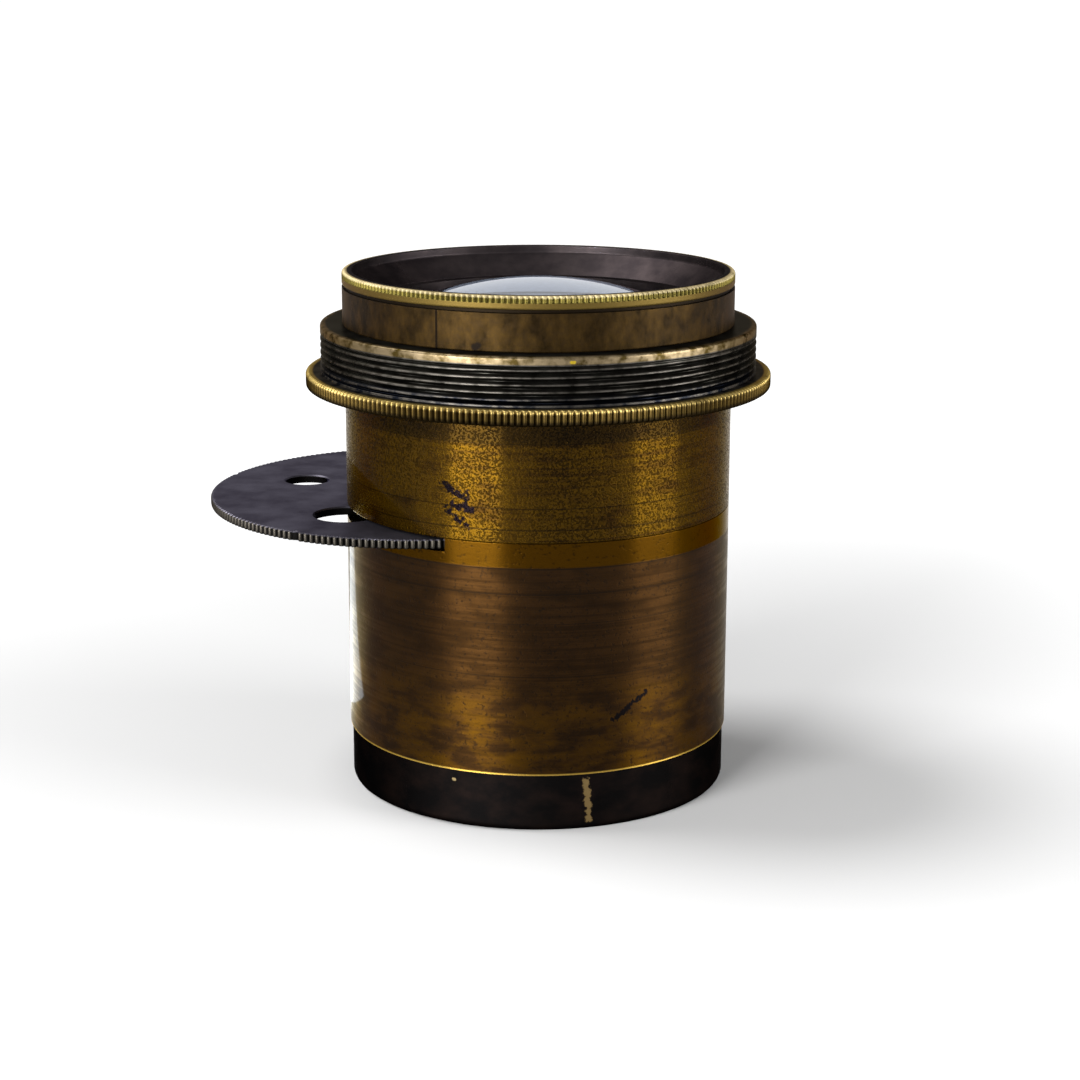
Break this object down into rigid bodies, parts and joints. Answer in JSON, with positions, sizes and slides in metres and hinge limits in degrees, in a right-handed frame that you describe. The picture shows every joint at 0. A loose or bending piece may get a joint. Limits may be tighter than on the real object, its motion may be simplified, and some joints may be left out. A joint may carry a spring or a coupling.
{
  "type": "rapid rectilinear lens",
  "caption": "Brass barrel lens with cemented glass pairs at both ends, a threaded mounting ring with knurled collar, and a serrated stop wheel that turns through a side slot.",
  "frame": {"origin": "where the optical axis crosses the flange seat, the upper face of the knurled collar", "axes": "+Z along the optical axis towards the rear of the lens, -Y towards the viewer of the picture, the stop wheel stands out towards -X"},
  "size_m": [0.0664, 0.0572, 0.0609],
  "materials": {
    "lacquered_brass": "dark brown lacquer over brass",
    "worn_brass": "golden brass with brown patina",
    "dull_brass": "dull brown patina",
    "blackened_brass": "blackened",
    "wheel_black": "blackened, rubbed",
    "flint_glass": "polished",
    "crown_glass": "polished",
    "screw_steel": "blued",
    "spring_bronze": "rolled strip"
  },
  "bodies": {
    "lens": {"front_tube": "lacquered_brass", "rear_tube": "worn_brass", "mount_ring": "worn_brass", "front_cell": "blackened_brass", "front_outer_glass": "flint_glass", "front_inner_glass": "crown_glass", "front_retainer": "blackened_brass", "rear_cell": "dull_brass", "rear_outer_glass": "flint_glass", "rear_inner_glass": "crown_glass", "rear_retainer": "blackened_brass", "stop_plate": "blackened_brass", "stop_plate_screw_1": "screw_steel", "stop_plate_screw_2": "screw_steel", "stop_plate_screw_3": "screw_steel", "wheel_pivot": "screw_steel", "pivot_washer": "worn_brass", "click_spring": "spring_bronze", "click_spring_screw": "screw_steel"},
    "wheel": {"stop_wheel": "wheel_black", "wheel_bush": "worn_brass"}
  },
  "joints": [
    {"name": "stop_wheel_turn", "type": "hinge", "parent": "lens", "child": "wheel", "pos_m": [-0.01423, 0.00504, -0.01645], "axis": [0, 0, 1], "continuous": true, "deforming": ["click_spring"]}
  ]
}
